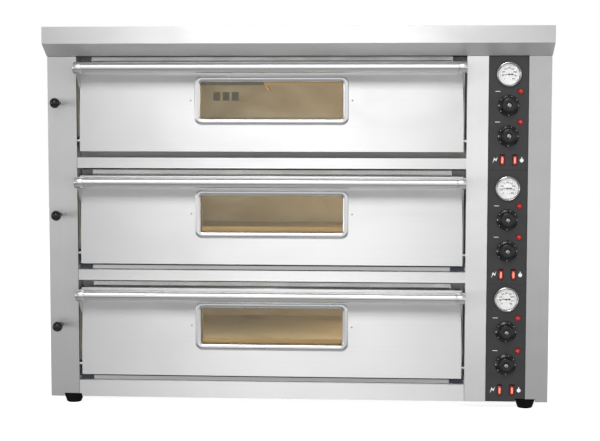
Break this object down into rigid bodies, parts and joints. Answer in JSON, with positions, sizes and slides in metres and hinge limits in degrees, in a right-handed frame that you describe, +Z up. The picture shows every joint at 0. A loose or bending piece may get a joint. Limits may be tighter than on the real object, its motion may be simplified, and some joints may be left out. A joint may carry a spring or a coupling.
{
  "type": "deck oven",
  "caption": "Electric pizza deck oven with stacked stone-floored chambers, bottom-hinged doors with windows and bar handles, and a side control panel.",
  "frame": {"origin": "centre of the oven's bounding box at floor level, under the feet", "axes": "+X to the right as seen from the front, along the width; -Y out of the front; +Z up"},
  "size_m": [1.2324, 0.8774, 0.931],
  "materials": {
    "brushed": "fine vertical brush",
    "polished": "polished tube",
    "chamber": "heat-tinted satin",
    "element": "oxidised sheath",
    "stone": "matt refractory",
    "glass": "bronze-tinted heat-resistant glass",
    "panel": "matt dark grey",
    "black": "gloss black phenolic",
    "chrome": "mirror",
    "needle": "matt black",
    "lens": "red, lit from behind",
    "rubber": "matt",
    "galvanised": "dull zinc"
  },
  "bodies": {
    "root": {"left_casing": "brushed", "right_casing": "brushed", "front_frame": "brushed", "base_tray": "brushed", "top_hood": "brushed", "back_panel": "galvanised", "cable_gland": "black", "control_panel": "panel", "front_left_foot": "rubber", "front_right_foot": "rubber", "rear_left_foot": "rubber", "rear_right_foot": "rubber", "top_chamber": "chamber", "top_stone_floor": "stone", "top_upper_element": "element", "top_lower_element": "element", "top_thermometer_case": "chrome", "middle_chamber": "chamber", "middle_stone_floor": "stone", "middle_upper_element": "element", "middle_lower_element": "element", "middle_thermometer_case": "chrome", "bottom_chamber": "chamber", "bottom_stone_floor": "stone", "bottom_upper_element": "element", "bottom_lower_element": "element", "bottom_thermometer_case": "chrome"},
    "top_door": {"top_door_panel": "brushed", "top_door_liner": "chamber", "top_window_bezel": "polished", "top_door_glass": "glass", "top_door_handle": "polished"},
    "top_damper": {"top_damper_pull": "black"},
    "top_needle": {"top_thermometer_needle": "needle"},
    "top_upper_knob": {"top_upper_heat_knob": "black"},
    "top_lower_knob": {"top_lower_heat_knob": "black"},
    "top_power_rocker": {"top_power_rocker": "lens"},
    "top_light_rocker": {"top_light_rocker": "lens"},
    "middle_door": {"middle_door_panel": "brushed", "middle_door_liner": "chamber", "middle_window_bezel": "polished", "middle_door_glass": "glass", "middle_door_handle": "polished"},
    "middle_damper": {"middle_damper_pull": "black"},
    "middle_needle": {"middle_thermometer_needle": "needle"},
    "middle_upper_knob": {"middle_upper_heat_knob": "black"},
    "middle_lower_knob": {"middle_lower_heat_knob": "black"},
    "middle_power_rocker": {"middle_power_rocker": "lens"},
    "middle_light_rocker": {"middle_light_rocker": "lens"},
    "bottom_door": {"bottom_door_panel": "brushed", "bottom_door_liner": "chamber", "bottom_window_bezel": "polished", "bottom_door_glass": "glass", "bottom_door_handle": "polished"},
    "bottom_damper": {"bottom_damper_pull": "black"},
    "bottom_needle": {"bottom_thermometer_needle": "needle"},
    "bottom_upper_knob": {"bottom_upper_heat_knob": "black"},
    "bottom_lower_knob": {"bottom_lower_heat_knob": "black"},
    "bottom_power_rocker": {"bottom_power_rocker": "lens"},
    "bottom_light_rocker": {"bottom_light_rocker": "lens"}
  },
  "joints": [
    {"name": "top_door_hinge", "type": "hinge", "parent": "root", "child": "top_door", "pos_m": [-0.0655, -0.37925, 0.6555], "axis": [1, 0, 0], "range_deg": [0, 90]},
    {"name": "top_damper_slide", "type": "slide", "parent": "root", "child": "top_damper", "axis": [0, -1, 0], "range_m": [0, 0.042]},
    {"name": "top_needle_pivot", "type": "hinge", "parent": "root", "child": "top_needle", "pos_m": [0.51235, -0.38745, 0.817], "axis": [0, 1, 0], "range_deg": [-45, 225]},
    {"name": "top_upper_knob_turn", "type": "hinge", "parent": "root", "child": "top_upper_knob", "pos_m": [0.51235, -0.38325, 0.7423], "axis": [0, 1, 0], "range_deg": [0, 300]},
    {"name": "top_lower_knob_turn", "type": "hinge", "parent": "root", "child": "top_lower_knob", "pos_m": [0.51235, -0.38325, 0.6684], "axis": [0, 1, 0], "range_deg": [0, 300]},
    {"name": "top_power_rocker_tilt", "type": "hinge", "parent": "root", "child": "top_power_rocker", "pos_m": [0.49845, -0.38125, 0.6109], "axis": [1, 0, 0], "range_deg": [-16, 0]},
    {"name": "top_light_rocker_tilt", "type": "hinge", "parent": "root", "child": "top_light_rocker", "pos_m": [0.52865, -0.38125, 0.6109], "axis": [1, 0, 0], "range_deg": [-16, 0]},
    {"name": "middle_door_hinge", "type": "hinge", "parent": "root", "child": "middle_door", "pos_m": [-0.0655, -0.37925, 0.37765], "axis": [1, 0, 0], "range_deg": [0, 90]},
    {"name": "middle_damper_slide", "type": "slide", "parent": "root", "child": "middle_damper", "axis": [0, -1, 0], "range_m": [0, 0.042]},
    {"name": "middle_needle_pivot", "type": "hinge", "parent": "root", "child": "middle_needle", "pos_m": [0.51235, -0.38745, 0.54155], "axis": [0, 1, 0], "range_deg": [-45, 225]},
    {"name": "middle_upper_knob_turn", "type": "hinge", "parent": "root", "child": "middle_upper_knob", "pos_m": [0.51235, -0.38325, 0.46535], "axis": [0, 1, 0], "range_deg": [0, 300]},
    {"name": "middle_lower_knob_turn", "type": "hinge", "parent": "root", "child": "middle_lower_knob", "pos_m": [0.51235, -0.38325, 0.38905], "axis": [0, 1, 0], "range_deg": [0, 300]},
    {"name": "middle_power_rocker_tilt", "type": "hinge", "parent": "root", "child": "middle_power_rocker", "pos_m": [0.49845, -0.38125, 0.33165], "axis": [1, 0, 0], "range_deg": [-16, 0]},
    {"name": "middle_light_rocker_tilt", "type": "hinge", "parent": "root", "child": "middle_light_rocker", "pos_m": [0.52865, -0.38125, 0.33165], "axis": [1, 0, 0], "range_deg": [-16, 0]},
    {"name": "bottom_door_hinge", "type": "hinge", "parent": "root", "child": "bottom_door", "pos_m": [-0.0655, -0.37925, 0.0998], "axis": [1, 0, 0], "range_deg": [0, 90]},
    {"name": "bottom_damper_slide", "type": "slide", "parent": "root", "child": "bottom_damper", "axis": [0, -1, 0], "range_m": [0, 0.042]},
    {"name": "bottom_needle_pivot", "type": "hinge", "parent": "root", "child": "bottom_needle", "pos_m": [0.51235, -0.38745, 0.2711], "axis": [0, 1, 0], "range_deg": [-45, 225]},
    {"name": "bottom_upper_knob_turn", "type": "hinge", "parent": "root", "child": "bottom_upper_knob", "pos_m": [0.51235, -0.38325, 0.191], "axis": [0, 1, 0], "range_deg": [0, 300]},
    {"name": "bottom_lower_knob_turn", "type": "hinge", "parent": "root", "child": "bottom_lower_knob", "pos_m": [0.51235, -0.38325, 0.1102], "axis": [0, 1, 0], "range_deg": [0, 300]},
    {"name": "bottom_power_rocker_tilt", "type": "hinge", "parent": "root", "child": "bottom_power_rocker", "pos_m": [0.49845, -0.38125, 0.0472], "axis": [1, 0, 0], "range_deg": [-16, 0]},
    {"name": "bottom_light_rocker_tilt", "type": "hinge", "parent": "root", "child": "bottom_light_rocker", "pos_m": [0.52865, -0.38125, 0.0472], "axis": [1, 0, 0], "range_deg": [-16, 0]}
  ]
}
